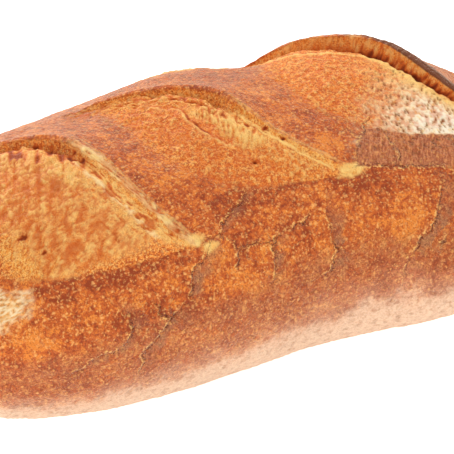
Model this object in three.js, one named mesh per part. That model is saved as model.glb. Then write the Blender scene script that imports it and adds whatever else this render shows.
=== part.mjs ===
// A rustic oval wheat loaf, baked free-standing, with three slanting scores across its top.
//
// The loaf is one solid. It lies along X, its left end at -X, and the side that shows in the
// photograph faces -Y. Every point of the crust is found from two coordinates: x along the loaf,
// and the angle round its cross-section, which is 0 at the crown, -90 at the front and 90 at the
// back. On that body each score opens as a leaf of swollen dough. Its upper rim is the ear, a
// flap of crust that the oven lifted: a fold with a lip, a torn face under the lip and a crevice.
//
// Lengths are in millimetres and angles in degrees.

import * as THREE from 'three';

// ---- The body ----
const LENGTH = 252;
const HALF_WIDTH = 60.5;
const CROWN_HEIGHT = 77.5;
const WAIST_HEIGHT = 32.5; // the widest line of the side, and the height of both end points
const CROWN_FULLNESS = 2.15; // superellipse power of the upper half of a cross-section
const BASE_FULLNESS = 2.6; // the same for the lower half
const BASE_SINK = 9; // how far the round underside would reach below the flat it rests on
const TAPER_POWER = 2.85; // how late the loaf narrows towards its ends
const TAPER_ROOT = 2.13; // how blunt the ends are
const BEND = 6.8; // both ends curve towards the front, at 100 mm from the middle

// The front of the right half has spread on the baking floor.
const SPREAD = { depth: 20, fromX: 16, toX: 100, angle: -104, reach: 85 };

// Humps and dips in the crust, which no dough is without. Each is at [x, angle].
const UNEVEN = [
  { at: [37, 40], height: -3.6, radius: 24 }, // between the two right-hand scores
  { at: [4, 40], height: 1.8, radius: 32 }, // behind the middle ear
  { at: [-64, 40], height: 1.6, radius: 22 }, // behind the left ear
];

// ---- The scores, from left to right ----
// Tips are [x, angle]. A belly is how far a rim bows out from the straight line between the
// tips, towards +X for the ear and towards -X for the low rim. A skew above 1 moves the belly to
// the back tip, and one below 1 moves it to the front tip. An ear's peak is skewed likewise.
const SCORES = [
  {
    frontTip: [-27, -52], backTip: [-94, 38],
    earBelly: 20, earSkew: 1.8, lowBelly: 54, lowSkew: 0.43,
    earHeight: 4.6, earPeak: 1.2, swell: 3.5,
  },
  {
    frontTip: [37, -42], backTip: [-33, 28],
    earBelly: 18.5, earSkew: 2.25, lowBelly: 37, lowSkew: 0.45,
    earHeight: 4.6, earPeak: 1.3, swell: 2.5,
  },
  {
    frontTip: [107, -40], backTip: [38, 42],
    earBelly: 18, earSkew: 2.4, lowBelly: 46, lowSkew: 0.55,
    earHeight: 8, earPeak: 1.8, swell: 2.5,
  },
];
const FLAP_REACH = 24; // the crust behind an ear sinks back to the body over this length
const SWELL_PEAK = 0.3; // where a leaf is highest, from the ear at 0 to the low rim at 1
const SWELL_AT_EAR = 0.7; // its height beside the ear, as a share of the highest

// ---- The fold of an ear, seen across it ----
// across: distance from the ear's crest towards the leaf, measured on the body.
// lean: how far the point is pushed over the leaf. rise: share of the ear's height.
// lip: share of the lip's thickness taken off. crevice: share of the crevice's depth taken off.
const LIP_THICKNESS = 2;
const CREVICE_DEPTH = 1.8;
const FOLD = [
  { across: 0, lean: 0.5, rise: 1, lip: 0, crevice: 0 },
  { across: 0.8, lean: 1.5, rise: 1, lip: 0.45, crevice: 0 },
  { across: 1.4, lean: 0.7, rise: 1, lip: 1, crevice: 0 },
  { across: 2.4, lean: -0.2, rise: 0.45, lip: 0.45, crevice: 0.1 },
  { across: 3.4, lean: -0.2, rise: 0.08, lip: 0.08, crevice: 0.8 },
  { across: 4.4, lean: 0, rise: 0, lip: 0, crevice: 1 },
];
const FOLD_WIDTH = 6.2; // from the crest to the leaf's own surface
const TIP_WIDTH = 0.5; // share of the fold's width that is left at a tip

// ---- The mesh ----
const CREST_CLEARANCE = 2.2; // first column behind a crest
const COLUMNS_LEFT = 12; // from the left end to the first ear
const COLUMNS_BETWEEN = 12; // from one ear to the next
const COLUMNS_RIGHT = 9; // from the last ear to the right end
const ROW_BANDS = [
  { from: -62, to: -2, rows: 22 }, // the front half of the crown
  { from: -2, to: 48, rows: 28 }, // where the ears run nearly along the loaf
  { from: 48, to: 298, rows: 24 }, // the back, the underside and the front
];
const DEGREE = Math.PI / 180;
const MM_PER_DEGREE = 1.08; // along the crown's curve, on average
const SAMPLE_X = 0.4; // step for slopes along the loaf
const SAMPLE_ANGLE = 0.4; // step for slopes round the section

const { clamp, lerp, smoothstep } = THREE.MathUtils;
const signedPower = (value, power) => Math.sign(value) * Math.abs(value) ** power;

// A bump that is 0 at both ends of 0..1 and 1 in between.
const bow = (t, skew) => Math.sin(Math.PI * t ** skew);

function endTaper(x) {
  const reach = Math.min(Math.abs(x) / (LENGTH / 2), 1);
  return (1 - reach ** TAPER_POWER) ** (1 / TAPER_ROOT);
}

// Angles run from -180 to 180.
const wrap = (angle) => angle - 360 * Math.floor((angle + 180) / 360);

function bodyPoint(x, angle) {
  const turn = wrap(angle);
  const taper = endTaper(x);
  const onCrown = Math.abs(turn) < 90;
  const power = 2 / (onCrown ? CROWN_FULLNESS : BASE_FULLNESS);
  const side = signedPower(Math.sin(turn * DEGREE), power);
  const level = Math.abs(Math.cos(turn * DEGREE)) ** power;
  const height = onCrown ? CROWN_HEIGHT - WAIST_HEIGHT : -(WAIST_HEIGHT + BASE_SINK);
  const spreadAlong = smoothstep(x, SPREAD.fromX, SPREAD.toX);
  const spreadRound = smoothstep(1 - Math.abs(turn - SPREAD.angle) / SPREAD.reach, 0, 1);
  const y = HALF_WIDTH * side * taper - BEND * (x / 100) ** 2
    - SPREAD.depth * spreadAlong * spreadRound * Math.sqrt(taper);
  const z = WAIST_HEIGHT + height * taper * level;
  return new THREE.Vector3(x, y, Math.max(z, 0));
}

function bodyNormal(x, angle) {
  const limit = LENGTH / 2 - SAMPLE_X * 2;
  const middle = clamp(x, -limit, limit);
  const along = bodyPoint(middle + SAMPLE_X, angle).sub(bodyPoint(middle - SAMPLE_X, angle));
  const round = bodyPoint(middle, angle + SAMPLE_ANGLE)
    .sub(bodyPoint(middle, angle - SAMPLE_ANGLE));
  return round.cross(along).negate().normalize();
}

// 0 at the front tip and 1 at the back tip.
function alongScore(score, angle) {
  const [, front] = score.frontTip;
  const [, back] = score.backTip;
  return clamp((angle - front) / (back - front), 0, 1);
}

const chordX = (score, t) => lerp(score.frontTip[0], score.backTip[0], t);
const lowX = (score, t) => chordX(score, t) - score.lowBelly * bow(t, score.lowSkew);

// The line of the ear's crest. Away from the score it goes on as a plain line of the mesh, which
// passes under the loaf from the front tip to the back tip.
function crestX(score, angle) {
  const turn = wrap(angle);
  const [frontX, front] = score.frontTip;
  const [backX, back] = score.backTip;
  if (turn > front && turn < back) {
    const t = alongScore(score, turn);
    return chordX(score, t) + score.earBelly * bow(t, score.earSkew);
  }
  const below = turn <= front ? front - turn : front + 360 - turn;
  return lerp(frontX, backX, smoothstep(below / (360 - back + front), 0, 1));
}

// How much longer a step along X is than the same step square to the crest.
function crestSlant(score, angle) {
  const run = crestX(score, angle + SAMPLE_ANGLE) - crestX(score, angle - SAMPLE_ANGLE);
  return Math.hypot(1, run / (2 * SAMPLE_ANGLE * MM_PER_DEGREE));
}

// Ears and leaves fade out towards both tips.
const fade = (t, skew) => Math.sqrt(Math.max(bow(t, skew), 0));
const leafStrength = (score, angle) => fade(alongScore(score, wrap(angle)), 1);
const earStrength = (score, angle) => fade(alongScore(score, wrap(angle)), score.earPeak);

function foldWidth(score, angle) {
  const share = lerp(TIP_WIDTH, 1, earStrength(score, angle));
  return share * crestSlant(score, angle);
}

function flapHeight(score, x, angle) {
  const behind = (x - crestX(score, angle)) / crestSlant(score, angle);
  if (behind < 0) return 0;
  const rest = 1 - Math.min(behind / FLAP_REACH, 1);
  return score.earHeight * earStrength(score, angle) * rest ** 2;
}

function leafHeight(score, x, angle) {
  const turn = wrap(angle);
  const t = alongScore(score, turn);
  const crest = crestX(score, turn);
  const low = lowX(score, t);
  const across = (crest - x) / Math.max(crest - low, 1);
  if (t <= 0 || t >= 1 || across < 0 || across > 1) return 0;
  const rise = lerp(SWELL_AT_EAR, 1, smoothstep(across, 0, SWELL_PEAK));
  const fall = 1 - smoothstep(across, SWELL_PEAK, 1);
  return score.swell * leafStrength(score, turn) * rise * fall;
}

function humpHeight(hump, x, angle) {
  const away = Math.hypot(x - hump.at[0], (wrap(angle) - hump.at[1]) * MM_PER_DEGREE);
  return hump.height * (1 - smoothstep(away, 0, hump.radius));
}

function relief(x, angle, ownScore) {
  let height = 0;
  for (const hump of UNEVEN) height += humpHeight(hump, x, angle);
  for (const score of SCORES) {
    if (score !== ownScore) height += flapHeight(score, x, angle);
    if (score !== ownScore) height += leafHeight(score, x, angle);
  }
  return height;
}

function crustPoint(x, angle) {
  const height = relief(x, angle, null);
  return bodyPoint(x, angle).addScaledVector(bodyNormal(x, angle), height);
}

// The direction on the body from the crest towards its leaf.
function leafward(score, angle, normal) {
  const ahead = bodyPoint(crestX(score, angle + SAMPLE_ANGLE), angle + SAMPLE_ANGLE);
  const behind = bodyPoint(crestX(score, angle - SAMPLE_ANGLE), angle - SAMPLE_ANGLE);
  const across = ahead.sub(behind).cross(normal).normalize();
  return across.x > 0 ? across.negate() : across;
}

function foldPoint(score, step, angle) {
  const x = crestX(score, angle) - step.across * foldWidth(score, angle);
  const power = earStrength(score, angle);
  const normal = bodyNormal(x, angle);
  const leaf = leafHeight(score, x, angle) * smoothstep(step.across, 0, FOLD_WIDTH);
  const height = power * (score.earHeight * step.rise
    - LIP_THICKNESS * step.lip - CREVICE_DEPTH * step.crevice)
    + leaf + relief(x, angle, score);
  return bodyPoint(x, angle)
    .addScaledVector(normal, height)
    .addScaledVector(leafward(score, angle, normal), power * step.lean);
}

// ---- The mesh: one ring of points per row, from the left end to the right end ----
function rowAngles() {
  return ROW_BANDS.flatMap(({ from, to, rows }) =>
    Array.from({ length: rows }, (_, row) => lerp(from, to, row / rows)));
}

function stretch(count, fromX, toX, easing) {
  return Array.from({ length: count }, (_, column) =>
    lerp(fromX, toX, easing((column + 1) / (count + 1))));
}

function ringPoints(angle) {
  const even = (t) => t;
  const leaveLeftEnd = (t) => 1 - Math.cos(Math.PI / 2 * t);
  const reachRightEnd = (t) => Math.sin(Math.PI / 2 * t);
  const points = [];
  let start = -LENGTH / 2;
  SCORES.forEach((score, index) => {
    const slant = crestSlant(score, angle);
    const crest = crestX(score, angle);
    const leafEdge = crest - FOLD_WIDTH * foldWidth(score, angle);
    const count = index === 0 ? COLUMNS_LEFT : COLUMNS_BETWEEN;
    const easing = index === 0 ? leaveLeftEnd : even;
    for (const x of stretch(count, start, leafEdge, easing)) points.push(crustPoint(x, angle));
    points.push(crustPoint(leafEdge, angle));
    for (const step of [...FOLD].reverse()) points.push(foldPoint(score, step, angle));
    start = crest + CREST_CLEARANCE * slant;
    points.push(crustPoint(start, angle));
  });
  for (const x of stretch(COLUMNS_RIGHT, start, LENGTH / 2, reachRightEnd)) {
    points.push(crustPoint(x, angle));
  }
  return points;
}

function loafGeometry() {
  const rings = rowAngles().map(ringPoints);
  const columns = rings[0].length;
  const positions = rings.flat().flatMap((point) => point.toArray());
  const leftEnd = rings.length * columns;
  const rightEnd = leftEnd + 1;
  positions.push(...bodyPoint(-LENGTH / 2, 0).toArray());
  positions.push(...bodyPoint(LENGTH / 2, 0).toArray());
  const faces = [];
  rings.forEach((_, row) => {
    const here = row * columns;
    const next = ((row + 1) % rings.length) * columns;
    faces.push(leftEnd, here, next);
    for (let column = 0; column < columns - 1; column += 1) {
      faces.push(here + column, here + column + 1, next + column + 1);
      faces.push(here + column, next + column + 1, next + column);
    }
    faces.push(rightEnd, next + columns - 1, here + columns - 1);
  });
  const geometry = new THREE.BufferGeometry();
  geometry.setAttribute('position', new THREE.Float32BufferAttribute(positions, 3));
  geometry.setIndex(faces);
  return geometry;
}

// The origin is under the middle of the loaf, on the surface that it rests on.
function centred(geometry) {
  geometry.computeBoundingBox();
  const middle = geometry.boundingBox.getCenter(new THREE.Vector3());
  geometry.translate(-middle.x, -middle.y, -geometry.boundingBox.min.z);
  geometry.computeVertexNormals();
  return geometry;
}

const crust = new THREE.MeshStandardMaterial({ color: '#c8773f', roughness: 0.7, metalness: 0 });
const loaf = new THREE.Mesh(centred(loafGeometry()), crust);
loaf.name = 'loaf';

const group = new THREE.Group();
group.add(loaf);
export default group;
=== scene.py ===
"""The looks of a rustic oval wheat loaf with three slanting scores.

The loaf lies along X, and the side that the photograph shows faces -Y. Every point of its crust
comes from two coordinates: x along the loaf, and the angle round its cross-section, which is 0 at
the crown, -90 at the front and 90 at the back. The form is the solid's own, on a much finer mesh.
On it come the torn strands, pits, blisters, wrinkles and cracks, as moves of the mesh, and masks
for the colours, as attributes of its points. Some of the masks paint shade into hollows, crevices
and pores, and paint light and glare onto the dough.

Lengths are in millimetres and angles in degrees. Only what stands round the loaf, which is the
camera, the lights and the floor, is in metres.
"""

import math
from dataclasses import dataclass
from itertools import product

import bpy
import numpy as np
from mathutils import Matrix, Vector


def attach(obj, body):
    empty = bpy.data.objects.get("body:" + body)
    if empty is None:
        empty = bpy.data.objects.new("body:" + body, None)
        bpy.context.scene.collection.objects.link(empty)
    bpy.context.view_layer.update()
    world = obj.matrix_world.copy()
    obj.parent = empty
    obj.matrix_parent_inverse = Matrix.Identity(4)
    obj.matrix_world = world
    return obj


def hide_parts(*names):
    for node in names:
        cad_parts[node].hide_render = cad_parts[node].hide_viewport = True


MM = 0.001
SEED = 7

# ---- The body, as the solid has it ----
LENGTH = 252
HALF_WIDTH = 60.5
CROWN_HEIGHT = 77.5
WAIST_HEIGHT = 32.5  # the widest line of the side, and the height of both end points
CROWN_FULLNESS = 2.15  # superellipse power of the upper half of a cross-section
BASE_FULLNESS = 2.6  # the same for the lower half
BASE_SINK = 9  # how far the round underside would reach below the flat it rests on
TAPER_POWER = 2.85  # how late the loaf narrows towards its ends
TAPER_ROOT = 2.13  # how blunt the ends are
BEND = 6.8  # both ends curve towards the front, at 100 mm from the middle

# The front of the right half has spread on the baking floor.
SPREAD_DEPTH = 20
SPREAD_FROM_X = 16
SPREAD_TO_X = 100
SPREAD_ANGLE = -104
SPREAD_REACH = 85

# Humps and dips of the crust: x, angle, height, radius.
UNEVEN = [(37, 40, -3.6, 24), (4, 40, 1.8, 32), (-64, 40, 1.6, 22)]


@dataclass(frozen=True)
class Score:
    """A cut that opened into a leaf, with an ear along its right rim. Tips are (x, angle)."""

    front_tip: tuple
    back_tip: tuple
    ear_belly: float  # how far the ear bows out to the right of the line between the tips
    ear_skew: float  # above 1, it bows out most nearer to the back tip
    low_belly: float  # the same for the low rim of the leaf, to the left of that line
    low_skew: float
    ear_height: float
    ear_peak: float  # above 1, the ear is highest nearer to the back tip
    swell: float  # how high the dough of the leaf bulges
    front_ear: float  # height of the ear's front half, as a share of the back half
    front_curl: float  # the same for how far the lip curls over the leaf
    front_width: float  # the same for the width of the fold


SCORES = [
    Score((-27, -52), (-94, 38), 20, 1.8, 54, 0.43, 4.6, 1.2, 3.5, 0.5, 0.1, 1.9),
    Score((37, -42), (-33, 28), 18.5, 2.25, 37, 0.45, 4.6, 1.3, 2.5, 0.5, 0.1, 1.9),
    Score((107, -40), (38, 42), 18, 2.4, 46, 0.55, 8, 1.8, 2.5, 1, 1, 1),
]
FLAP_REACH = 24  # the crust behind an ear sinks back to the body over this length
SWELL_PEAK = 0.3  # where a leaf is highest, from the ear at 0 to the low rim at 1
SWELL_AT_EAR = 0.7  # its height beside the ear, as a share of the highest

# The fold of an ear: distance across it, lean over the leaf, and the shares of the ear's height,
# of the lip's thickness and of the crevice's depth.
LIP_THICKNESS = 2
CREVICE_DEPTH = 1.8
FOLD = [
    (0, 0.3, 1, 0, 0),
    (0.8, 0.9, 1, 0.45, 0),
    (1.4, 0.4, 1, 1, 0),
    (2.4, -0.2, 0.45, 0.45, 0.1),
    (3.4, -0.2, 0.08, 0.08, 0.8),
    (4.4, 0, 0, 0, 1),
    (6.2, 0, 0, 0, 0),
]
FOLD_WIDTH = FOLD[-1][0]
TIP_WIDTH = 0.5  # how wide the fold is at both tips, as a share
BACK_HALF = (0.35, 0.65)  # an ear changes to its back half between these shares of its length
MM_PER_DEGREE = 1.08  # of the loaf's girth
SAMPLE = 0.4  # slopes are measured over two steps of this size, in millimetres or degrees

# ---- The mesh ----
ROW_STEP = 0.6
SECTION_SAMPLES = 7201
UNDERSIDE_DENSITY = 0.45  # rows under the loaf, as a share of those on the crust
FOLD_COLUMNS = 30
STRETCHES = [125, 120, 120, 95]  # columns before, between and after the folds
HOME_X = (-62, 7, 76)  # where the columns of each fold run on the sides of the loaf
HOME_DRIFT = 62  # degrees from a tip to there

# ---- The view, the lights and the floor ----
VIEW_AZIMUTH = math.radians(-28.3)
VIEW_ELEVATION = math.radians(35)
VIEW_DISTANCE = 0.9
VIEW_AIM = Vector((0.0063, -0.0002, 0.0307))
LENS = 201
SENSOR_WIDTH = 36

WHITE = (1, 1, 1)
WARM = (1, 0.94, 0.86)
WORLD_LIGHT = 0.6

# Area lights: name, place, size, watts, colour.
LIGHTS = [
    ("key", (0.5, 0.25, 0.9), 0.35, 5.2, WHITE),
    ("back", (-0.1, 1.2, 0.35), 0.5, 11.5, WARM),
    ("fill", (-0.9, -0.8, 0.6), 0.8, 6, WHITE),
]
FLOOR_REACH = 4
FLOOR_LOOK = {
    "Base Color": (0.9, 0.9, 0.9, 1),
    "Roughness": 0.9,
    "Emission Color": (1, 1, 1, 1),
    "Emission Strength": 0.7,
}


# ---- Small helpers ----
def lerp(low, high, share):
    return low + (high - low) * share


def ramp(value, low, high):
    """Goes smoothly from 0 to 1 while the value goes from low to high."""
    share = np.clip((value - low) / (high - low), 0, 1)
    return share * share * (3 - 2 * share)


def between(value, low, high, soft):
    """1 from low to high and 0 outside, with edges as wide as soft."""
    rise = ramp(value, low - soft / 2, low + soft / 2)
    return rise * (1 - ramp(value, high - soft / 2, high + soft / 2))


def bow(share, skew):
    """0 at both ends of 0..1 and 1 in between."""
    return np.sin(np.pi * share**skew)


def signed_power(value, power):
    return np.sign(value) * np.abs(value) ** power


def unit(vectors):
    return vectors / np.maximum(np.linalg.norm(vectors, axis=-1, keepdims=True), 1e-9)


def on_plane(first, second):
    """Places for noise that depends on two coordinates only."""
    return np.stack([first, second, first * 0], axis=-1)


def spline(knots, count):
    """count points on a smooth curve through the knots."""
    knots = np.asarray(knots, float)
    ends = 2 * knots[0] - knots[1], 2 * knots[-1] - knots[-2]
    padded = np.vstack([ends[0], knots, ends[1]])
    place = np.linspace(0, len(knots) - 1, count)
    first = np.minimum(place.astype(int), len(knots) - 2)
    s = (place - first)[:, None]
    a, b, c, d = (padded[first + k] for k in range(4))
    cubic = 3 * b - a - 3 * c + d
    square = 2 * a - 5 * b + 4 * c - d
    return (2 * b + (c - a) * s + square * s**2 + cubic * s**3) / 2


def scene_object(name, data):
    thing = bpy.data.objects.new(name, data)
    bpy.context.scene.collection.objects.link(thing)
    return thing


def aim(thing, direction):
    thing.rotation_mode = "QUATERNION"
    thing.rotation_quaternion = direction.to_track_quat("-Z", "Y")


# ---- Noise ----
def corners(low, high):
    return [np.array(corner) for corner in product(range(low, high + 1), repeat=3)]


def lattice_index(cells, order):
    """A fixed random number from 0 to 255 for each cell of space."""
    x, y, z = (cells[..., k] & 255 for k in range(3))
    return order[(order[(order[x] + y) & 255] + z) & 255]


def noise(points, size, seed):
    """Smooth noise from about -1 to 1. size is the distance over which it changes, and every
    seed has a pattern of its own."""
    draw = np.random.default_rng(SEED + seed)
    order = draw.permutation(256)
    slopes = unit(draw.normal(size=(256, 3)))
    places = points / size
    cells = np.floor(places).astype(int)
    part = places - cells
    blend = part**3 * (part * (part * 6 - 15) + 10)
    total = 0
    for corner in corners(0, 1):
        weight = np.prod(np.where(corner, blend, 1 - blend), axis=-1)
        slope = slopes[lattice_index(cells + corner, order)]
        total = total + weight * np.einsum("...k,...k", slope, part - corner)
    return total * 1.7


def spots(points, size, seed):
    """Distances to the nearest two of scattered spots, in spot spacings, and a random number
    from 0 to 1 that belongs to the nearest."""
    draw = np.random.default_rng(SEED + seed)
    order = draw.permutation(256)
    shifts = draw.random((256, 3))
    ranks = draw.random(256)
    places = points / size
    cells = np.floor(places).astype(int)
    nearest = np.full(places.shape[:-1], 9.0)
    second = nearest.copy()
    rank = np.zeros_like(nearest)
    for corner in corners(-1, 1):
        index = lattice_index(cells + corner, order)
        away = cells + corner + shifts[index] - places
        distance = np.sqrt(np.einsum("...k,...k", away, away))
        closer = distance < nearest
        second = np.where(closer, nearest, np.minimum(second, distance))
        nearest = np.where(closer, distance, nearest)
        rank = np.where(closer, ranks[index], rank)
    return nearest, second, rank


# ---- The body ----
def wrap(angle):
    return angle - 360 * np.floor((angle + 180) / 360)


def end_taper(x):
    reach = np.minimum(np.abs(x) / (LENGTH / 2), 1)
    return (1 - reach**TAPER_POWER) ** (1 / TAPER_ROOT)


def body_point(x, angle):
    turn = wrap(angle)
    taper = end_taper(x)
    on_crown = np.abs(turn) < 90
    power = 2 / np.where(on_crown, CROWN_FULLNESS, BASE_FULLNESS)
    side = signed_power(np.sin(np.radians(turn)), power)
    level = np.abs(np.cos(np.radians(turn))) ** power
    height = np.where(on_crown, CROWN_HEIGHT - WAIST_HEIGHT, -(WAIST_HEIGHT + BASE_SINK))
    along = ramp(x, SPREAD_FROM_X, SPREAD_TO_X)
    around = ramp(1 - np.abs(turn - SPREAD_ANGLE) / SPREAD_REACH, 0, 1)
    y = HALF_WIDTH * side * taper - BEND * (x / 100) ** 2
    y = y - SPREAD_DEPTH * along * around * np.sqrt(taper)
    z = np.maximum(WAIST_HEIGHT + height * taper * level, 0)
    return np.stack(np.broadcast_arrays(x, y, z), axis=-1)


def body_normal(x, angle):
    limit = LENGTH / 2 - SAMPLE * 2
    middle = np.clip(x, -limit, limit)
    along = body_point(middle + SAMPLE, angle) - body_point(middle - SAMPLE, angle)
    around = body_point(middle, angle + SAMPLE) - body_point(middle, angle - SAMPLE)
    return unit(-np.cross(around, along))


# ---- The scores ----
def chord_x(score, share):
    return lerp(score.front_tip[0], score.back_tip[0], share)


def low_x(score, share):
    return chord_x(score, share) - score.low_belly * bow(share, score.low_skew)


def along_score(score, turn):
    """0 at the front tip and 1 at the back tip."""
    front, back = score.front_tip[1], score.back_tip[1]
    return np.clip((turn - front) / (back - front), 0, 1)


def crest_x(score, home, angle):
    """The line of the ear's crest, which leads on to the fold's home column past both tips."""
    turn = wrap(angle)
    share = along_score(score, turn)
    crest = chord_x(score, share) + score.ear_belly * bow(share, score.ear_skew)
    past_front = ramp(score.front_tip[1] - turn, 0, HOME_DRIFT)
    past_back = ramp(turn - score.back_tip[1], 0, HOME_DRIFT)
    return lerp(crest, home, np.maximum(past_front, past_back))


def fade(share, skew):
    """Ears and leaves fade out towards both tips."""
    return np.sqrt(np.maximum(bow(share, skew), 0))


class ScoreRows:
    """A score as the rows of the mesh see it: every array has one value for each row."""

    def __init__(self, score, home, angle):
        turn = wrap(angle)
        ahead = crest_x(score, home, angle + SAMPLE)
        behind = crest_x(score, home, angle - SAMPLE)
        run = (ahead - behind) / (2 * SAMPLE * MM_PER_DEGREE)
        self.score = score
        self.share = along_score(score, turn)
        self.crest = crest_x(score, home, angle)
        self.low = low_x(score, self.share)
        self.slant = np.hypot(1, run)
        self.leaf = fade(self.share, 1)
        to_back = ramp(self.share, *BACK_HALF)
        self.ear = fade(self.share, score.ear_peak) * lerp(score.front_ear, 1, to_back)
        self.curl = self.ear * lerp(score.front_curl, 1, to_back)
        self.width = lerp(TIP_WIDTH, 1, self.ear) * self.slant
        self.width = self.width * lerp(score.front_width, 1, to_back)
        point_ahead = body_point(ahead, angle + SAMPLE)
        self.tangent = point_ahead - body_point(behind, angle - SAMPLE)
        steps = np.where((self.share > 0) & (self.share < 1), self.slant, 0)
        spacing = np.gradient(angle) * MM_PER_DEGREE
        self.along = np.cumsum(steps * spacing)
        line = on_plane(self.along, self.along * 0 + score.swell)
        self.ragged = 1 + 0.3 * noise(line, 6, 5) + 0.25 * noise(line, 2.2, 6)

    def flap(self, x):
        """How high the crust behind the ear is lifted."""
        behind = -self.gap(x)
        rest = 1 - np.minimum(behind / FLAP_REACH, 1)
        raised = self.score.ear_height * self.ear[:, None] * rest**2
        return np.where(behind < 0, 0, raised)

    def across(self, x):
        """0 at the ear, 1 at the low rim."""
        return (self.crest[:, None] - x) / np.maximum(self.crest - self.low, 1)[:, None]

    def swelling(self, x):
        across = self.across(x)
        rise = lerp(SWELL_AT_EAR, 1, ramp(across, 0, SWELL_PEAK))
        fall = 1 - ramp(across, SWELL_PEAK, 1)
        height = self.score.swell * self.leaf[:, None] * rise * fall
        return np.where((across < 0) | (across > 1), 0, height)

    def gap(self, x):
        """Distance from the crest towards the leaf, square to the crest."""
        return (self.crest[:, None] - x) / self.slant[:, None]

    def span(self):
        """Width of the leaf, square to the crest."""
        return (self.crest - self.low) / self.slant


# ---- The grid of the mesh: rows of one angle each, from the left end to the right end ----
def row_angles():
    """Angles of rows that lie evenly on the crust, and wider apart on the underside."""
    angle = np.linspace(-180, 180, SECTION_SAMPLES)
    section = body_point(np.zeros_like(angle), angle)
    length = np.linalg.norm(np.diff(section, axis=0), axis=1)
    above_floor = section[1:, 2] > 1
    weight = np.where(above_floor, 1, UNDERSIDE_DENSITY)
    along = np.concatenate([[0], np.cumsum(length * weight)])
    rows = int(along[-1] / ROW_STEP)
    return np.interp(np.arange(rows) * along[-1] / rows, along, angle)


def grid_columns(scores, rows):
    """x of every point, the columns that each fold takes, and the fold's values in them."""
    fold = spline(FOLD, FOLD_COLUMNS)[::-1]
    shares = [np.arange(1, count + 1) / (count + 1) for count in STRETCHES]
    # The columns close up towards both ends of the loaf, where it rounds off.
    shares[0] = 1 - np.cos(np.pi / 2 * shares[0])
    shares[-1] = np.sin(np.pi / 2 * shares[-1])
    start = np.full(rows, -LENGTH / 2)
    blocks, folds, used = [], [], 0
    for score, share in zip(scores, shares):
        edge = score.crest - fold[0, 0] * score.width
        blocks.append(start[:, None] + (edge - start)[:, None] * share)
        blocks.append(score.crest[:, None] - fold[:, 0] * score.width[:, None])
        used += len(share) + FOLD_COLUMNS
        folds.append(slice(used - FOLD_COLUMNS, used))
        start = score.crest
    blocks.append(start[:, None] + (LENGTH / 2 - start)[:, None] * shares[-1])
    return np.hstack(blocks), folds, fold


def main_form(angle):
    """The solid's form: points, their x and angle, and the scores' rows."""
    scores = [ScoreRows(score, home, angle) for score, home in zip(SCORES, HOME_X)]
    x, folds, fold = grid_columns(scores, len(angle))
    turn = np.broadcast_to(angle[:, None], x.shape)
    normal = body_normal(x, turn)
    height = np.zeros_like(x)
    lean = np.zeros_like(normal)
    for at_x, at_angle, rise, radius in UNEVEN:
        away = np.hypot(x - at_x, (wrap(turn) - at_angle) * MM_PER_DEGREE)
        height += rise * (1 - ramp(away, 0, radius))
    for rows, columns in zip(scores, folds):
        flap, swelling = rows.flap(x), rows.swelling(x)
        height += flap + swelling
        across, leaning, rise, lip, crevice = fold.T
        hollow = LIP_THICKNESS * lip + CREVICE_DEPTH * crevice
        leaf = swelling[:, columns] * ramp(across, 0, FOLD_WIDTH)
        own = (flap + swelling)[:, columns]
        step = rows.ear[:, None] * rows.score.ear_height * rise - rows.curl[:, None] * hollow
        height[:, columns] += step + leaf - own
        leafward = unit(np.cross(rows.tangent[:, None], normal[:, columns]))
        leafward *= np.where(leafward[..., :1] > 0, -1, 1)
        torn_lean = (rows.curl * rows.ragged)[:, None] * leaning
        lean[:, columns] += leafward * torn_lean[..., None]
    points = body_point(x, turn) + normal * height[..., None] + lean
    return points, x, turn, scores


def grid_normals(points):
    """Outward normals of the grid, whose rows close on themselves."""
    around = np.roll(points, -1, axis=0) - np.roll(points, 1, axis=0)
    along = np.gradient(points, axis=1)
    return unit(np.cross(along, around))


def grid_faces(rows, columns):
    """Quads between the rows, and triangles to the two end points."""
    here = np.arange(rows)[:, None] * columns
    after = np.roll(np.arange(rows), -1)[:, None] * columns
    column = np.arange(columns - 1)
    quads = np.stack([here + column, here + column + 1, after + column + 1, after + column], -1)
    left, right = rows * columns, rows * columns + 1
    here, after = here[:, 0], after[:, 0]
    left_fan = np.stack([np.full(rows, left), here, after], -1)
    last = columns - 1
    right_fan = np.stack([np.full(rows, right), after + last, here + last], -1)
    return quads.reshape(-1, 4), np.vstack([left_fan, right_fan])


def mesh_object(name, points, ends, masks):
    """A closed mesh through the grid's points and the two end points, in metres."""
    rows, columns = points.shape[:2]
    vertices = np.vstack([points.reshape(-1, 3), ends]) * MM
    quads, triangles = grid_faces(rows, columns)
    mesh = bpy.data.meshes.new(name)
    mesh.vertices.add(len(vertices))
    mesh.vertices.foreach_set("co", vertices.ravel())
    corners_used = np.concatenate([quads.ravel(), triangles.ravel()])
    mesh.loops.add(len(corners_used))
    mesh.loops.foreach_set("vertex_index", corners_used)
    sizes = np.concatenate([np.full(len(quads), 4), np.full(len(triangles), 3)])
    mesh.polygons.add(len(sizes))
    mesh.polygons.foreach_set("loop_start", np.cumsum(sizes) - sizes)
    mesh.polygons.foreach_set("use_smooth", np.ones(len(sizes), bool))
    for label, values in masks.items():
        layer = mesh.attributes.new(label, "FLOAT", "POINT")
        at_ends = [values[:, 0].mean(), values[:, -1].mean()]
        layer.data.foreach_set("value", np.append(values.ravel(), at_ends).astype(np.float32))
    mesh.update(calc_edges=True)
    mesh.validate()
    return scene_object(name, mesh)


# ---- The surface, point by point ----
MASKS = (
    "exposed", "gold", "cream", "pale_tint_and_glare", "dark", "scorched_and_pore_shade", "plate", "pale", "grey_sheen", "tone",
    "thread_x", "thread_y",
)
THREAD_SLANT = math.radians(62)  # how torn threads lie, from the loaf's length to its girth
FLOOR_BLEND = 2.5  # the relief sets in over this height above the floor


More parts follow.
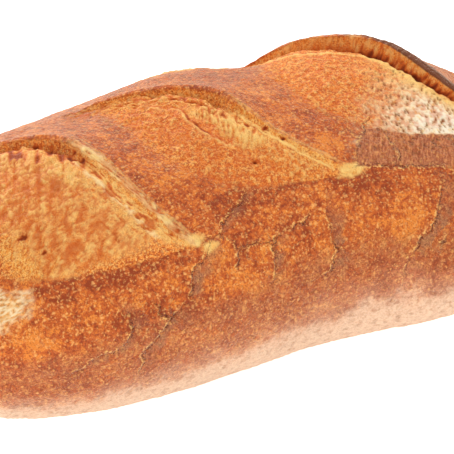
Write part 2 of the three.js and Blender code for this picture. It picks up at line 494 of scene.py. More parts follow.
class Crust:
    """The main form, and what its relief and colours are worked out from."""

    def __init__(self):
        angle = row_angles()
        self.points, self.x, self.turn, self.scores = main_form(angle)
        self.base = body_point(self.x, self.turn)
        self.normal = body_normal(self.x, self.turn)
        self.height = np.zeros_like(self.x)
        self.masks = {name: np.zeros_like(self.x) for name in MASKS}
        girth = self.turn * MM_PER_DEGREE
        across, along = math.sin(THREAD_SLANT), math.cos(THREAD_SLANT)
        self.masks["thread_x"] = across * self.x - along * girth
        self.masks["thread_y"] = along * self.x + across * girth

    def noise(self, size, seed):
        return noise(self.points, size, seed)

    def on_threads(self, thin, long):
        """Places for noise that is stretched along the torn threads."""
        return on_plane(self.masks["thread_x"] / thin, self.masks["thread_y"] / long)

    def tint(self, name, amount):
        """Raises a mask to the amount where it is lower."""
        self.masks[name] = np.maximum(self.masks[name], amount)


@dataclass(frozen=True)
class Band:
    """A strip of torn dough beside an ear. Its ridges take the tints, which go from 0 to 1, and
    dark
    darkens its hollows: a little dark is the dough's own red, and much dark is painted shade."""

    near: float  # its two edges, as distances from the ear's crest
    far: float
    front: float  # its two ends, from the score's front tip at 0 to the back tip at 1
    back: float
    texture: str  # one of those in Leaf.ridges
    relief: float = 0
    gold: float = 0
    cream: float = 0
    dark: float = 0
    # a whitish tint, painted light on a ridge that the ear shades
    pale_tint_and_glare: float = 0
    soft: float = 1.5  # how wide its edges blur


BAND_END_BLUR = 0.08

# How high up a ridge each tint sets in and how high it is full. Dark goes the other way.
TINT_LEVELS = {"cream": (0.45, 1), "pale_tint_and_glare": (0.5, 1), "dark": (0.8, 0.3)}

# The bands of the left, the middle and the right leaf. Their strong dark is painted shade in pits
# and crevices, and some light tints under the ears are painted light on dough that the ears
# shade.
BANDS = [
    [
        Band(-2, -1, -0.1, 0.62, "lying", 0.3, gold=0.4, cream=0.5, soft=0.8),
        Band(-1.2, 2.2, 0, 0.6, "lumps", 0.5, gold=1, cream=1, dark=0.3, soft=1.2),
        # The whitish tint on this ridge is painted light, as the ridge faces away from the key
        # light.
        Band(-0.9, 1.9, 0, 0.6, "lying", 0.2, gold=1, cream=0.9, pale_tint_and_glare=0.15, soft=1),
        Band(2, 7.5, 0.03, 0.56, "pits", 0.6, gold=0.6, dark=0.5),
        Band(3, 7.5, 0.03, 0.56, "lying", 0.4, cream=0.6, dark=0.6),
        Band(6.8, 8.4, 0.08, 0.52, "lying", 0.7, gold=0.7, cream=1, pale_tint_and_glare=0.3, soft=1),
        Band(8, 14, 0.08, 0.46, "webs", 0.7, gold=0.3, cream=0.4, dark=0.45, soft=3),
        Band(10, 19, 0.06, 0.34, "lying", 0.7, gold=0.3, cream=0.6, dark=0.5, soft=4),
        # Light tints here are painted light on the lip's face, which the ear shades.
        Band(0.4, 3.4, 0.56, 1.1, "grain", 0.6, cream=0.5, dark=0.1),
        Band(3, 7.5, 0.5, 1.1, "lumps", 1.4, dark=0.9, soft=2.5),
        Band(5, 14, 0.48, 1.1, "streaks", 1, gold=0.7, cream=0.3, dark=0.75, soft=3),
        Band(9.5, 20, 0.4, 1.1, "threads", 0.9, gold=1, cream=0.7, dark=0.35, soft=5),
        Band(15, 42, 0.06, 0.9, "streaks", 0.8, gold=0.6, cream=0.7, dark=0.5, soft=6),
        Band(13, 42, 0.06, 0.9, "flecks", 0.8, gold=0.3, cream=0.9, dark=0.46, soft=8),
        Band(13, 44, 0.05, 0.92, "grain", 0.3, cream=0.5, dark=0.3, soft=8),
        Band(34, 50, 0.06, 0.34, "flecks", 0.3, gold=0.9, cream=0.35, soft=7),
    ],
    [
        Band(-0.4, 0.5, 0, 0.6, "lying", 0.2, gold=0.5, cream=0.5, soft=0.7),
        Band(0.6, 3.2, 0.03, 0.55, "lumps", 0.3, gold=0.9, cream=0.3),
        Band(3.2, 4.6, 0.05, 0.55, "lying", 0.4, gold=0.7, cream=1, soft=0.9),
        Band(4.4, 7, 0.05, 0.6, "pits", 0.9, gold=0.6, dark=0.7),
        Band(0.6, 1.3, 0.5, 0.72, "plain", dark=0.6, soft=0.6),
        # Light tints here are partly painted light on the lip's face, which faces away from the
        # light.
        Band(1.2, 4.4, 0.6, 1.1, "grain", 0.3, gold=0.4, cream=0.6),
        Band(4.6, 13, 0.5, 0.96, "pits", 1.4, gold=0.5, dark=0.75, soft=2.5),
        Band(4.6, 12, 0.5, 0.96, "flecks", 0.7, cream=0.5, dark=0.5, soft=2.5),
        Band(5.5, 15, 0.28, 0.6, "threads", 0.9, gold=1, cream=0.8, dark=0.45, soft=5),
        Band(6, 15, 0.02, 0.3, "flecks", 0.7, gold=0.3, cream=0.6, dark=0.3, soft=4),
        Band(14, 34, 0.04, 0.7, "streaks", 0.4, dark=0.35, soft=6),
        Band(12, 34, 0.04, 0.8, "flecks", 0.5, cream=0.35, dark=0.35, soft=6),
    ],
    [
        Band(10, 50, 0.1, 0.95, "flecks", 0.5, cream=0.35, dark=0.35, soft=8),
    ],
]


class Leaf:
    """One score's own coordinates for every point of the mesh."""

    def __init__(self, crust, index):
        rows = crust.scores[index]
        self.share, self.along, self.span = (
            np.broadcast_to(value[:, None], crust.x.shape)
            for value in (rows.share, rows.along, rows.span())
        )
        self.gap = rows.gap(crust.x)
        self.cut = (self.share > 0) & (self.share < 1)
        self.threads = noise(crust.on_threads(1.3, 7), 1, index + 36)
        self.streaks = noise(crust.on_threads(2.6, 9), 1, index + 46)
        self.tear = 0.5 * crust.noise(2.6, index + 31) + 0.7 * self.threads
        self.raised = crust.points[..., 2] - crust.base[..., 2]
        self.depth = 1 - self.raised / np.maximum(rows.score.ear_height * rows.ear, 1)[:, None]
        self.textures = self.ridges(crust, 20 * index + 20)

    def part(self, band):
        """1 inside the band and 0 outside it, with torn edges."""
        across = between(self.gap + band.soft * self.tear, band.near, band.far, band.soft)
        return self.cut * across * between(self.share, band.front, band.back, BAND_END_BLUR)

    def ridges(self, crust, seed):
        """Textures of torn dough: 1 on their ridges, 0 in their hollows."""
        across = self.gap - self.raised
        lying = noise(on_plane(self.along / 6, across / 1.1), 1, seed)
        warp = 0.3 * crust.noise(2.5, seed + 3)
        places = on_plane(self.along / 4.4 + warp, across / 2.3 - warp)
        nearest, second, rank = spots(places, 1, seed + 2)
        return {
            "plain": 1,
            "lying": 1 - np.abs(lying),
            "threads": 1 - np.abs(self.threads),
            "webs": 1 - ramp(second - nearest, 0.08, 0.6),
            "pits": 1 - ramp(nearest, 0.55, 0.1) * (rank > 0.3),
            "lumps": 0.5 + 0.7 * crust.noise(3.2, seed + 5),
            "flecks": 0.5 + 0.5 * crust.noise(1.7, seed + 6) + 0.4 * crust.noise(0.9, seed + 7),
            "grain": 0.5 + 0.5 * crust.noise(1.4, seed + 4),
            "streaks": 0.6 + 0.6 * self.streaks,
        }


# Lumps of the whole crust and blisters under its skin: size, seed of the noise, height.
LUMPS = [(26, 1, 0.45), (8, 2, 0.25), (2.4, 3, 0.15), (1.2, 4, 0.12)]
BLISTERS = [(2.4, 11, 0.16), (1.7, 12, 0.1)]


def add_skin(crust):
    """The unevenness of the whole crust."""
    for size, seed, height in LUMPS:
        crust.height += height * crust.noise(size, seed)
    for size, seed, height in BLISTERS:
        nearest, _, rank = spots(crust.base, size, seed)
        radius = 0.12 + 0.24 * rank
        dome = np.clip(1 - (nearest / radius) ** 2, 0, 1) * (rank > 0.3)
        crust.height += height * dome


def add_wrinkles(crust, leaf):
    """Fine folds of the skin behind an ear, along it."""
    folds = noise(on_plane(leaf.along / 14, leaf.gap / 1.3), 1, 15)
    behind = leaf.cut * between(leaf.gap, -26, -1, 8) * between(leaf.share, 0.35, 1.2, 0.3)
    crust.height += 0.16 * behind * folds


def add_leaf(crust, index):
    """The dough that a score laid bare, rougher and lighter than the skin."""
    leaf = Leaf(crust, index)
    add_wrinkles(crust, leaf)
    ragged = 1.6 * crust.noise(5, index + 41) + 0.8 * crust.noise(1.6, index + 51)
    inside = ramp(leaf.span - leaf.gap + ragged, -1.5, 2.5)
    bare = leaf.cut * inside * ramp(leaf.gap, 0.4, 1.6)
    crust.tint("exposed", bare)
    crust.height += bare * (0.4 * crust.noise(3.4, index + 61) + 0.26 * crust.noise(1.5, 62))
    short_of_rim = ramp(leaf.span - leaf.gap + ragged, -6, 0)
    for band in BANDS[index]:
        ridge = leaf.textures[band.texture]
        part = leaf.part(band) * short_of_rim
        crust.height += part * band.relief * (ridge - 0.75)
        crust.tint("gold", part * band.gold * lerp(0.6, 1, ridge))
        for name, levels in TINT_LEVELS.items():
            crust.tint(name, part * getattr(band, name) * ramp(ridge, *levels))
    return leaf


def add_right_ear(crust, leaf):
    """The right ear's dark lip, and the torn face from it down to the ear's foot, with painted
    shade that deepens down the face.
    """
    face = leaf.cut * between(leaf.gap, 0.3, 4.6, 0.6)
    strokes = noise(on_plane(leaf.along / 1.4, leaf.depth * 1.5), 1, 95)
    blobs = crust.noise(3.2, 96)
    shade = ramp(leaf.depth - 0.3 * strokes - 0.35 * blobs, 0.45, 1)
    crust.height += face * 0.5 * strokes
    shade *= ramp(leaf.share, 0.95, 0.65)
    crust.tint("gold", face * 0.6)
    crust.tint("cream", face * ramp(strokes + blobs - leaf.depth, -0.4, 0.5) * 0.65)
    # Painted shade, deeper towards the ear's foot.
    crust.tint("dark", face * lerp(0.25, 0.9, shade))
    lip = lerp(0.2, 0.06, ramp(leaf.share, 0.45, 0.75))
    top = leaf.cut * between(leaf.gap, -3.2, 3, 0.8) * between(leaf.share, 0.08, 0.95, 0.1)
    crust.tint("scorched_and_pore_shade", top * ramp(lip - leaf.depth, -0.04, 0.02))


def add_right_leaf_lip(crust, leaf):
    """The right leaf has a cream lip of its own, some way from its ear."""
    lip_gap = 7.2 + 10 * ramp(leaf.share, 0.6, 0.76)
    lip = leaf.cut * between(leaf.gap - lip_gap + leaf.tear, -2.2, 1.8, 1.8)
    lumps = crust.noise(1.8, 68)
    crust.tint("cream", lip * (0.8 + 0.3 * lumps))
    crust.height += lip * (0.3 + 0.4 * lumps)


def add_right_leaf_pores(crust, leaf):
    """The front half of the right leaf is pale and full of slits along its threads. Its cream is
    partly the dough's own and partly a painted highlight, and towards its front tip a painted
    glare makes it whitish.
    """
    ragged = 6 * crust.noise(6, 71) + 5 * crust.noise(2, 72)
    pale = leaf.cut * ramp(3 + (0.62 - leaf.share) * 65 + ragged - leaf.gap, -14, 16)
    pale *= ramp(leaf.gap, 5.5, 7.5)
    nearest, _, rank = spots(crust.on_threads(1, 3.2), 1, 66)
    slit = ramp(nearest, 0.2 + 0.4 * rank, 0.12) * ramp(pale, 0.1, 0.4)
    ridges = 1 - np.abs(crust.noise(1.5, 73))
    # A painted glare, strongest towards the front tip of the leaf.
    painted_glare = pale * between(leaf.share, -0.4, 0.33, 0.45) * ramp(leaf.gap, 6, 15)
    crust.tint("cream", np.maximum(pale * lerp(0.5, 1, ridges), painted_glare) * (1 - slit))
    crust.tint("pale_tint_and_glare", painted_glare * ramp(ridges, 0.1, 0.7) * (1 - slit))
    # The slits are darkened with painted shade.
    crust.tint("scorched_and_pore_shade", slit * 0.75)
    crust.height += pale * 0.4 * (ridges - 0.7) - slit * 0.7


# ---- Places on the skin ----
# Patches of another colour: x, angle, half their width and half their height.
RUDDY = [
    (-42, -54, 26, 5), (-68, -52, 26, 6), (16, -38, 18, 6), (40, -48, 14, 7),
    (-12, -40, 8, 6), (-52, -76, 16, 9), (-4, -20, 6, 14),
]
BRIGHT = [
    (-21, -58, 7, 10), (-15, -72, 9, 7), (17, -66, 5, 12),
    (46, -66, 5, 12), (-85, -72, 12, 8), (30, -30, 8, 5),
]
GOLDEN = [(-28, -50, 4, 3), (-24, -54, 3.5, 2.5), (35, -41, 6, 3)]
NETTED = [(-97, -52, 11, 10)]

# Burst blisters: x, angle, radius, depth. Their insides are darkened with painted shade.
HOLES = [
    (-81, -24, 1.6, 1), (-77, -34, 1, 1), (4, -28, 0.9, 1), (14, -16, 1, 1), (18, -22, 0.9, 1),
    (-49, -22, 2.8, 0.6), (-41, -39, 3, 0.6), (-34, -44, 2, 0.5), (-10, 14, 1.8, 0.9),
    (-3, 7, 1.8, 0.8), (-26, 22, 1.8, 0.9),
]

# The stiff plate of skin below the right leaf: its edges as x and angle.
PLATE_TOP = [(37, -28), (46, -26), (52, -26), (62, -31), (72, -33), (90, -37), (112, -40)]
PLATE_FOOT = [(37, -40), (45, -41), (52, -42.5), (61, -45.5), (74, -48), (112, -50)]
PLATE_LEFT = [(-40, 38), (-34, 40), (-28, 46), (-19, 54)]


def patch(crust, place, ragged):
    """1 in the middle of a patch, 0 outside it, with a torn edge."""
    x, angle, half_width, half_height = place
    away = np.hypot((crust.x - x) / half_width, (crust.turn - angle) / half_height)
    return ramp(1.15 - away + ragged, 0, 0.6)


def add_tones(crust):
    """Darker and brighter skin, torn golden patches, and the pale net at the left end."""
    ragged = 0.3 * crust.noise(4, 80) + 0.15 * crust.noise(1.7, 81)
    tone = 0.5 * crust.noise(17, 82) + 0.45 * crust.noise(7, 83) + 0.3 * crust.noise(3, 84)
    for place in RUDDY:
        tone -= 0.5 * patch(crust, place, ragged)
    for place in BRIGHT:
        tone += 0.5 * patch(crust, place, ragged)
    for place in GOLDEN:
        bright = patch(crust, place, ragged)
        crust.tint("exposed", bright)
        crust.tint("gold", bright)
        crust.tint("cream", bright * (0.7 + 0.6 * crust.noise(1.4, 97)))
    net = 1 - np.abs(crust.noise(1.1, 85)) * 1.8
    for place in NETTED:
        pale = patch(crust, place, ragged)
        crust.tint("cream", pale * lerp(0.25, 0.9, ramp(net, 0, 0.9)))
        crust.tint("pale_tint_and_glare", 0.6 * pale * ramp(net, 0.2, 1))
        crust.height += 0.5 * pale * net
    crust.masks["tone"] = tone


def add_holes(crust):
    torn = 0.6 * crust.noise(1.2, 94)
    for x, angle, radius, depth in HOLES:
        away = np.hypot(crust.x - x, (crust.turn - angle) * MM_PER_DEGREE) / radius
        hole = ramp(away + torn, 1.2, 0.5)
        crust.height -= depth * hole
        # Painted shade inside the hole.
        crust.tint("dark", hole * depth * 0.8)


def add_plate(crust):
    ragged = 0.8 * crust.noise(3, 86) + 0.4 * crust.noise(1.2, 87)
    top, foot, left = (np.array(edge).T for edge in (PLATE_TOP, PLATE_FOOT, PLATE_LEFT))
    below_top = ramp(np.interp(crust.x, *top) - crust.turn + ragged, -0.7, 0.7)
    above_foot = ramp(crust.turn - np.interp(crust.x, *foot), -0.6, 0.6)
    inside = ramp(crust.x - np.interp(crust.turn, *left), -0.5, 0.5)
    plate = below_top * above_foot * inside
    crust.tint("plate", plate)
    for name in ("exposed", "cream", "gold", "dark", "pale_tint_and_glare"):
        crust.masks[name] *= 1 - plate
    nearest, _, rank = spots(crust.base, 1.6, 88)
    crust.height += plate * (0.35 + 0.3 * crust.noise(1.7, 89) + 0.3 * crust.noise(0.9, 98))
    crust.height -= plate * 0.35 * ramp(nearest, 0.4, 0.1) * (rank > 0.4)


# ---- The cracks of the crust ----
# The width of the smooth skin on a crack's right, which takes a painted greyish sheen, and its
# points as (x, angle) from the top.
CRACKS = [
    (2, [(-2, -37), (-7, -41), (-12, -43), (-17, -47), (-18, -51), (-25, -50)]),
    (4, [(-22, -50), (-28, -59), (-33, -62), (-35, -70), (-34, -72)]),
    (0, [(-17, -52), (-15, -59), (-16, -63), (-16, -67)]),
    (0, [(-15, -59), (-10, -58), (-6, -59), (-1, -62)]),
    (3, [(3, -55), (0, -59), (-2, -64), (-3, -73), (-6, -76)]),
    (0, [(15, -54), (9, -56), (5, -57)]),
    (5, [(21, -53), (20, -60), (20, -67), (21, -71), (19, -75), (18, -79), (7, -81)]),
    (6, [(66, -50), (63, -58), (57, -67), (52, -73), (46, -79), (43, -88)]),
    (0, [(61, -75), (58, -77)]),
    (3, [(-59, -67), (-57, -72), (-58, -81), (-64, -85), (-73, -88), (-79, -91)]),
    (5, [(-35, -72), (-42, -76), (-47, -83), (-53, -88), (-54, -91), (-55, -98)]),
    (0, [(-47, -68), (-46, -75), (-42, -77)]),
    (0, [(54, -19), (50, -24), (46, -28), (43, -31), (40, -34), (39, -38)]),
    (0, PLATE_FOOT[:-1]),
    (0, [(53, -30), (55, -37), (54, -41), (53, -43)]),
]
UNSEEN_CRACKS = 16
CRACK_REACH = 7  # how far from a crack its relief and its smooth skin go
CRACK_STEP = 0.4
CRACK_ENDS = (0.02, 0.98)  # a crack is cut off just before its depth would fade to nothing
KINKS = [(3.1, 0.5), (1.2, 0.25)]  # their spacing and size

# The edge of the older layer in the middle leaf, from its back end.
LEDGE = [
    (-25, 16), (-21, 13), (-17, 10), (-13, 6), (-8, 2), (-8, -2), (-7, -8), (-5, -14), (-2, -18),
    (2, -20),
]
LEDGE_HEIGHT = 0.7

# The angle at which the pale base begins, at several x.
PALE_FROM = [(-95, 107), (-52, 103), (5, 98), (42, 93), (60, 95)]


def unseen_cracks():
    """More cracks like those of the front, on the back and the ends."""
    draw = np.random.default_rng(SEED + 90)
    cracks = []
    for index in range(UNSEEN_CRACKS):
        place = np.array([draw.uniform(-105, 105), draw.uniform(55, 100)])
        turns = np.cumsum(draw.normal(0, 0.6, 5)) + draw.uniform(-0.8, 0.8)
        steps = np.stack([np.sin(turns) * 6, np.cos(turns) * 5], axis=1)
        cracks.append((4 * (index % 2), place + np.cumsum(steps, axis=0)))
    return cracks


def straight(knots, count):
    """count points on the straight lines from each knot to the next."""
    place = np.linspace(0, len(knots) - 1, count)
    return np.stack([np.interp(place, np.arange(len(knots)), line) for line in knots.T], -1)


def jagged(knots):
    """A torn line near the knots, with random kinks."""
    knots = np.asarray(knots, float)
    length = np.linalg.norm(np.diff(knots, axis=0), axis=1).sum()
    count = int(length / CRACK_STEP)
    line = straight(knots, count)
    draw = np.random.default_rng(SEED + int(abs(knots[0]).sum()))
    for spacing, size in KINKS:
        line += straight(draw.normal(0, size, (int(length / spacing) + 3, 2)), count)
    return line


def beside_crack(crust, knots):
    """Which points are near one crack, their distances from it, positive on its right, and how
    deep it is beside them."""
    line = jagged(knots)
    spine = body_point(line[:, 0], line[:, 1])
    heading = unit(np.gradient(spine, axis=0))
    depth = np.sin(np.pi * np.linspace(*CRACK_ENDS, len(line))) ** 0.4
    low, high = spine.min(0) - CRACK_REACH, spine.max(0) + CRACK_REACH
    near = np.all((crust.base > low) & (crust.base < high), axis=-1)
    offset = crust.base[near][:, None] - spine
    away = np.linalg.norm(offset, axis=-1)
    nearest = away.argmin(axis=1)
    picked = np.arange(len(nearest)), nearest
    right = np.cross(heading[nearest], offset[picked])
    side = np.einsum("ij,ij->i", right, crust.normal[near])
    return near, np.where(side < 0, -away[picked], away[picked]), depth[nearest]


def crack_fields(crust, cracks):
    """The distance from the nearest crack, positive on its right, how deep the crack is there,
    and the width of the smooth skin beside it, which takes a painted greyish sheen."""
    distance = np.full(crust.x.shape, float(CRACK_REACH))
    strength = np.zeros_like(crust.x)
    smooth = np.zeros_like(crust.x)
    for width, knots in cracks:
        near, gap, depth = beside_crack(crust, knots)
        closer = np.abs(gap) < np.abs(distance[near])
        distance[near] = np.where(closer, gap, distance[near])
        strength[near] = np.where(closer, depth, strength[near])
        smooth[near] = np.where(closer, width, smooth[near])
    strength *= 1 - ramp(np.abs(distance), CRACK_REACH - 2, CRACK_REACH)
    return distance, strength, smooth


def add_cracks(crust):
    distance, strength, smooth = crack_fields(crust, CRACKS + unseen_cracks())
    gap = np.abs(distance)
    groove = np.exp(-((gap / 0.42) ** 2))
    lifted = np.where(distance < 0, 0.25 * np.exp(-gap / 1.4), -0.15 * np.exp(-gap / 2))
    crust.height += strength * (lifted - 0.3 * groove)
    width = smooth * (1 + 0.9 * crust.noise(5, 92))
    beside = ramp(distance, 0, 0.5) * ramp(width - distance, -2.5, 2.5)
    # The smooth skin on a crack's right takes a painted greyish sheen.
    crust.tint("grey_sheen", beside * strength)
    crust.masks["crack_gap"] = distance
    crust.masks["crack_depth"] = strength


def add_ledge(crust):
    distance, strength, _ = crack_fields(crust, [(0, LEDGE)])
    below = ramp(-distance, 0, 0.8) * np.exp(-np.maximum(-distance, 0) / 3.5)
    crust.height += strength * LEDGE_HEIGHT * below
    torn = lerp(0.9, 0.45, ramp(crust.turn, -3, 7)) + 0.5 * crust.noise(2.2, 93)
    crust.tint("cream", strength * torn * between(-distance, 0, 1.2, 0.7))
    # A dark line of painted shade at the foot of the ledge's step.
    crust.tint("dark", strength * torn * between(-distance, -1, 0, 0.7) * 0.8)


def add_base(crust):
    """The pale crust round the underside, whose border is flaky and wrinkled. Its paleness is
    partly the crust's own and partly painted light from the bright floor below.
    """
    start = np.interp(crust.x, *np.array(PALE_FROM).T)
    side = np.abs(crust.turn) - start + 4 * crust.noise(9, 70)
    flakes = 3 * crust.noise(3, 74) + 4 * crust.noise(1.3, 75)
    soft, torn = ramp(side, -12, 14), ramp(side + flakes, 0, 5)
    crust.masks["pale"] = 0.65 * soft + 0.35 * torn
    # A greyish band above the pale border, part of the painted fade towards the floor.
    crust.tint("grey_sheen", 0.6 * between(side + 0.5 * flakes, -24, 2, 12))
    stretched = crust.points / np.array([7, 1.1, 1.1])
    crust.height += 0.3 * torn * (1 - np.abs(noise(stretched, 1, 76)))


def build_loaf():
    crust = Crust()
    add_skin(crust)
    leaves = [add_leaf(crust, index) for index in range(len(SCORES))]
    add_right_ear(crust, leaves[2])
    add_right_leaf_lip(crust, leaves[2])
    add_right_leaf_pores(crust, leaves[2])
    add_ledge(crust)
    add_holes(crust)
    add_tones(crust)
    add_plate(crust)
    add_cracks(crust)
    add_base(crust)
    off_floor = ramp(crust.base[..., 2], 0, FLOOR_BLEND)
    normals = grid_normals(crust.points)
    points = crust.points + normals * (crust.height * off_floor)[..., None]
    points[..., 2] = np.maximum(points[..., 2], 0)
    # The solid is centred on its own box, which the relief isn't part of.
    low, high = crust.points.min(axis=(0, 1)), crust.points.max(axis=(0, 1))
    shift = -(low + high) / 2 * [1, 1, 0]
    ends = np.array([body_point(-LENGTH / 2, 0), body_point(LENGTH / 2, 0)])
    return mesh_object("loaf_crust", points + shift, ends + shift, crust.masks)


# ---- The crust's material ----
def rgb(red, green, blue):
    """An sRGB colour of 0 to 255, as the shader takes it."""
    shares = [value / 255 for value in (red, green, blue)]
    return [((share + 0.055) / 1.055) ** 2.4 for share in shares] + [1]


SKIN_DEEP = rgb(150, 58, 16)
SKIN = rgb(198, 92, 32)
SKIN_LIGHT = rgb(232, 134, 50)
BLISTER = rgb(250, 184, 106)
DOUGH_DEEP = rgb(186, 78, 24)
DOUGH = rgb(236, 136, 50)
GOLD = rgb(246, 162, 58)
CREAM = rgb(252, 206, 122)
# The dough's own red, and the painted shade of torn hollows and crevices.
TORN_RED = rgb(214, 98, 32)
TORN_SHADE = rgb(122, 44, 12)
GREY_SHEEN_LIGHT = rgb(172, 114, 80)
GREY_SHEEN_DEEP = rgb(122, 74, 48)
PLATE_DEEP = rgb(138, 72, 44)
PLATE_BROWN = rgb(226, 152, 104)
# The underside: partly the crust's own pale colour and partly painted light from the floor.
UNDERSIDE = rgb(236, 200, 168)
UNDERSIDE_DEEP = rgb(222, 176, 142)
UNDERSIDE_BROWN = rgb(178, 118, 82)
SHEEN = rgb(255, 226, 196)
# Whitish: painted glare on the right leaf, painted light on the left ridge, and the pale net at
# the left end.
PALE_TINT_AND_GLARE = rgb(255, 240, 212)
CRACK = rgb(110, 46, 20)
# Dark brown: the ear's well-baked lip, and painted shade in the slits of the right leaf.
SCORCHED_AND_PORE_SHADE = rgb(118, 66, 40)


class Shader:
    """Builds the nodes of one material."""

    def __init__(self, name):
        self.material = bpy.data.materials.new(name)
        self.material.use_nodes = True
        self.tree = self.material.node_tree
        self.surface = self.tree.nodes["Principled BSDF"]
        self.place = self.add("ShaderNodeTexCoord").outputs["Object"]

    def add(self, kind, inputs=None, **settings):
        node = self.tree.nodes.new(kind)
        for name, value in settings.items():
            setattr(node, name, value)
        for name, value in (inputs or {}).items():
            self.feed(node.inputs[name], value)
        return node

    def feed(self, socket, value):
        if isinstance(value, bpy.types.NodeSocket):
            self.tree.links.new(value, socket)
        else:
            socket.default_value = value

    def mask(self, name):
        return self.add("ShaderNodeAttribute", attribute_name=name).outputs["Fac"]

    def math(self, operation, *values):
        inputs = dict(enumerate(values))
        return self.add("ShaderNodeMath", inputs, operation=operation).outputs[0]

    def plus(self, first, second):
        return self.math("ADD", first, second)

    def times(self, first, second):
        return self.math("MULTIPLY", first, second)

    def step(self, value, low, high, bottom=0, top=1):
        """Goes smoothly from bottom to top while the value goes from low to high."""
        inputs = {0: value, 1: low, 2: high, 3: bottom, 4: top}
        return self.add("ShaderNodeMapRange", inputs, interpolation_type="SMOOTHSTEP").outputs[0]

    def layers(self, colour, *layers):
        """Lays colours over the first one, each as (its share, the colour)."""
        for share, layer in layers:
            inputs = {0: share, 6: colour, 7: layer}
            colour = self.add("ShaderNodeMix", inputs, data_type="RGBA").outputs[2]
        return colour

    def noise(self, place, scale, detail):
        inputs = {"Vector": place, "Scale": scale, "Detail": detail}
        return self.add("ShaderNodeTexNoise", inputs).outputs

    def grain(self, size, detail):
        """Noise of about 0 to 1."""
        return self.noise(self.place, 1 / (size * MM), detail)["Fac"]

    def bent(self, size, amount):
        """The place, moved about by noise."""
        shift = self.noise(self.place, 1 / (size * MM), 2)["Color"]
        inputs = {0: shift, 1: (amount * MM,) * 3, 2: self.place}
        return self.add("ShaderNodeVectorMath", inputs, operation="MULTIPLY_ADD").outputs[0]

    def blisters(self, size, place):
        """Spots of many sizes, one for each cell of the size."""
        inputs = {"Vector": place, "Scale": 1 / (size * MM)}
        cells = self.add("ShaderNodeTexVoronoi", inputs).outputs
        radius = self.step(cells["Color"], 0.25, 0.8, 0.05, 0.5)
        return self.step(cells["Distance"], radius, self.times(radius, 0.3))

    def threads(self, thin, long):
        """Noise stretched along the torn threads."""
        inputs = {
            0: self.times(self.mask("thread_x"), 1 / thin),
            1: self.times(self.mask("thread_y"), 1 / long),
        }
        place = self.add("ShaderNodeCombineXYZ", inputs).outputs[0]
        return self.noise(place, 1, 2)["Fac"]


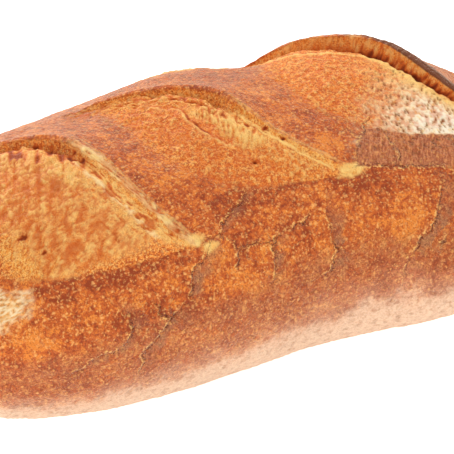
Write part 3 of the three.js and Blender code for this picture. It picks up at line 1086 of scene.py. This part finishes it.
class CrustShader(Shader):
    """The crust, whose colours come from the masks of its points and from noise."""

    def __init__(self):
        super().__init__("crust")
        self.finest = self.grain(0.5, 3)
        self.fine = self.grain(1, 4)
        self.medium = self.grain(2.6, 4)
        self.thread = self.threads(0.75, 3)
        self.bent_place = self.bent(0.9, 1.1)
        # Skin with a painted greyish sheen, which is also smoother and has fewer blisters.
        self.smooth = self.times(self.mask("grey_sheen"), self.step(self.medium, 0.35, 0.6, 0.3, 0.85))
        self.dots = self.pale_dots()
        ragged = self.step(self.fine, 0.3, 0.7, -0.45, 0.45)
        self.crack_gap = self.plus(self.mask("crack_gap"), ragged)
        self.crack = self.crack_line()

    def pale_dots(self):
        """Blisters and specks, fewer on smooth skin and on the plate."""
        dots = self.times(self.step(self.grain(0.95, 1), 0.56, 0.72), 0.6)
        for size in (1.1, 1.8):
            dots = self.math("MAXIMUM", dots, self.blisters(size, self.bent_place))
        plain = self.math("MAXIMUM", self.smooth, self.times(self.mask("plate"), 0.7))
        return self.times(dots, self.math("MULTIPLY_ADD", plain, -0.7, 1))

    def crack_line(self):
        depth = self.times(self.mask("crack_depth"), self.step(self.medium, 0.36, 0.5, 0.2, 1))
        return self.times(self.step(self.math("ABSOLUTE", self.crack_gap), 0.34, 0.06), depth)

    def crack_rim(self):
        """The pale edge on the left of a crack."""
        gap = self.math("ABSOLUTE", self.plus(self.crack_gap, 0.5))
        rim = self.times(self.step(gap, 0.5, 0.1), self.mask("crack_depth"))
        return self.times(rim, self.step(self.fine, 0.42, 0.62, 0, 0.65))

    def skin(self):
        tone = self.plus(self.mask("tone"), self.step(self.medium, 0.35, 0.65, -0.45, 0.45))
        tone = self.plus(tone, self.step(self.fine, 0.35, 0.65, -0.4, 0.4))
        plate = self.layers(PLATE_DEEP, (self.step(self.thread, 0.3, 0.72), PLATE_BROWN))
        # The painted greyish sheen.
        grey_sheen = self.layers(GREY_SHEEN_DEEP, (self.step(self.finest, 0.35, 0.6), GREY_SHEEN_LIGHT))
        return self.layers(
            SKIN_DEEP,
            (self.step(tone, -0.9, 0.1), SKIN),
            (self.step(tone, 0, 1), SKIN_LIGHT),
            (self.times(self.mask("plate"), 0.65), plate),
            (self.step(self.finest, 0.5, 0.32, 0, 0.55), SKIN_DEEP),
            (self.smooth, grey_sheen),
            (self.times(self.dots, self.step(self.fine, 0.3, 0.6, 0.3, 0.75)), BLISTER),
        )

    def dough(self):
        gold = self.mask("gold")
        return self.layers(
            DOUGH_DEEP,
            (self.step(self.fine, 0.38, 0.58), DOUGH),
            (self.times(gold, 0.8), GOLD),
            (self.times(self.step(self.thread, 0.5, 0.66, 0, 0.7), gold), CREAM),
            (self.times(self.step(self.thread, 0.47, 0.3, 0, 0.9), gold), DOUGH_DEEP),
            (self.times(self.dots, 0.45), CREAM),
            (self.step(self.finest, 0.54, 0.66, 0, 0.7), CREAM),
            (self.step(self.finest, 0.47, 0.33, 0, 0.8), DOUGH_DEEP),
        )

    def underside(self):
        return self.layers(
            UNDERSIDE_DEEP,
            (self.step(self.fine, 0.35, 0.6), UNDERSIDE),
            (self.step(self.medium, 0.46, 0.34, 0, 0.45), UNDERSIDE_BROWN),
            (self.times(self.blisters(4, self.bent_place), 0.4), UNDERSIDE_BROWN),
        )

    def colour(self):
        dark = self.mask("dark")
        return self.layers(
            self.skin(),
            (self.mask("exposed"), self.dough()),
            (self.mask("cream"), CREAM),
            # Whitish: painted glare and painted light, and the pale net at the left end.
            (self.mask("pale_tint_and_glare"), PALE_TINT_AND_GLARE),
            # Dark: the dough's own red where it is weak, and painted shade where it is strong.
            (self.step(dark, 0, 0.7), TORN_RED),
            (self.step(dark, 0.35, 1), TORN_SHADE),
            # the ear's well-baked lip, and painted shade in the slits
            (self.mask("scorched_and_pore_shade"), SCORCHED_AND_PORE_SHADE),
            # The pale underside, partly painted light from the floor.
            (self.mask("pale"), self.underside()),
            (self.crack_rim(), CREAM),
            (self.times(self.crack, 0.9), CRACK),
        )

    def bump(self):
        strands = self.times(self.mask("gold"), self.thread)
        reliefs = (self.finest, 0.3), (self.dots, 0.15), (strands, 1), (self.crack, -0.2)
        height = self.times(self.fine, 0.5)
        for relief, weight in reliefs:
            height = self.math("MULTIPLY_ADD", relief, weight, height)
        return self.add("ShaderNodeBump", {"Height": height, "Distance": MM}).outputs[0]


def crust_material():
    """Slightly glossy on the skin, and matt where the dough tore."""
    shader = CrustShader()
    exposed = shader.mask("exposed")
    rough = shader.step(shader.fine, 0.3, 0.7, 0.42, 0.6)
    look = {
        "Base Color": shader.colour(),
        "Roughness": shader.plus(rough, shader.times(exposed, 0.15)),
        "Specular IOR Level": 0.22,
        "Sheen Weight": shader.math("MULTIPLY_ADD", exposed, -0.75, 0.9),
        "Sheen Roughness": 0.2,
        "Sheen Tint": SHEEN,
        "Normal": shader.bump(),
    }
    for name, value in look.items():
        shader.feed(shader.surface.inputs[name], value)
    return shader.material


# ---- The studio ----
def add_floor():
    square = ((-1, -1), (1, -1), (1, 1), (-1, 1))
    outline = [(x * FLOOR_REACH, y * FLOOR_REACH, 0) for x, y in square]
    mesh = bpy.data.meshes.new("floor")
    mesh.from_pydata(outline, [], [(0, 1, 2, 3)])
    material = bpy.data.materials.new("floor")
    material.use_nodes = True
    surface = material.node_tree.nodes["Principled BSDF"].inputs
    for name, value in FLOOR_LOOK.items():
        surface[name].default_value = value
    mesh.materials.append(material)
    scene_object("floor", mesh)


def add_area_light(name, place, size, power, colour):
    light = bpy.data.lights.new(name, "AREA")
    light.size = size
    light.energy = power
    light.color = colour
    lamp = scene_object(name, light)
    lamp.location = place
    aim(lamp, -Vector(place))


def add_world():
    """White all round. The camera sees it full, and the loaf gets less light from it."""
    world = bpy.data.worlds.new("studio")
    bpy.context.scene.world = world
    world.use_nodes = True
    tree = world.node_tree
    background = tree.nodes["Background"]
    background.inputs["Color"].default_value = (1, 1, 1, 1)
    seen = tree.nodes.new("ShaderNodeLightPath").outputs["Is Camera Ray"]
    strength = tree.nodes.new("ShaderNodeMapRange")
    strength.inputs["To Min"].default_value = WORLD_LIGHT
    tree.links.new(seen, strength.inputs["Value"])
    tree.links.new(strength.outputs["Result"], background.inputs["Strength"])


def add_camera():
    level = math.cos(VIEW_ELEVATION)
    x, y = math.sin(VIEW_AZIMUTH) * level, -math.cos(VIEW_AZIMUTH) * level
    towards = Vector((x, y, math.sin(VIEW_ELEVATION)))
    camera = scene_object("camera", bpy.data.cameras.new("camera"))
    camera.data.lens = LENS
    camera.data.sensor_width = SENSOR_WIDTH
    camera.location = VIEW_AIM + towards * VIEW_DISTANCE
    aim(camera, -towards)
    bpy.context.scene.camera = camera


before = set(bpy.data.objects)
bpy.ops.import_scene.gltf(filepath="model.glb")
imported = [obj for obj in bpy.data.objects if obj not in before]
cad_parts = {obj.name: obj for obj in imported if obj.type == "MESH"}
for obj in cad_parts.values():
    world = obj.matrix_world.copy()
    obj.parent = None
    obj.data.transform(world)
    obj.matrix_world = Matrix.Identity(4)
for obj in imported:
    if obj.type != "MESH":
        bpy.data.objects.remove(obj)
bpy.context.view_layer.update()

loaf = build_loaf()
loaf.data.materials.append(crust_material())
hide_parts("loaf")
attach(loaf, "root")

add_camera()
add_floor()
add_world()
for light_settings in LIGHTS:
    add_area_light(*light_settings)
bpy.context.scene.view_settings.view_transform = "Standard"
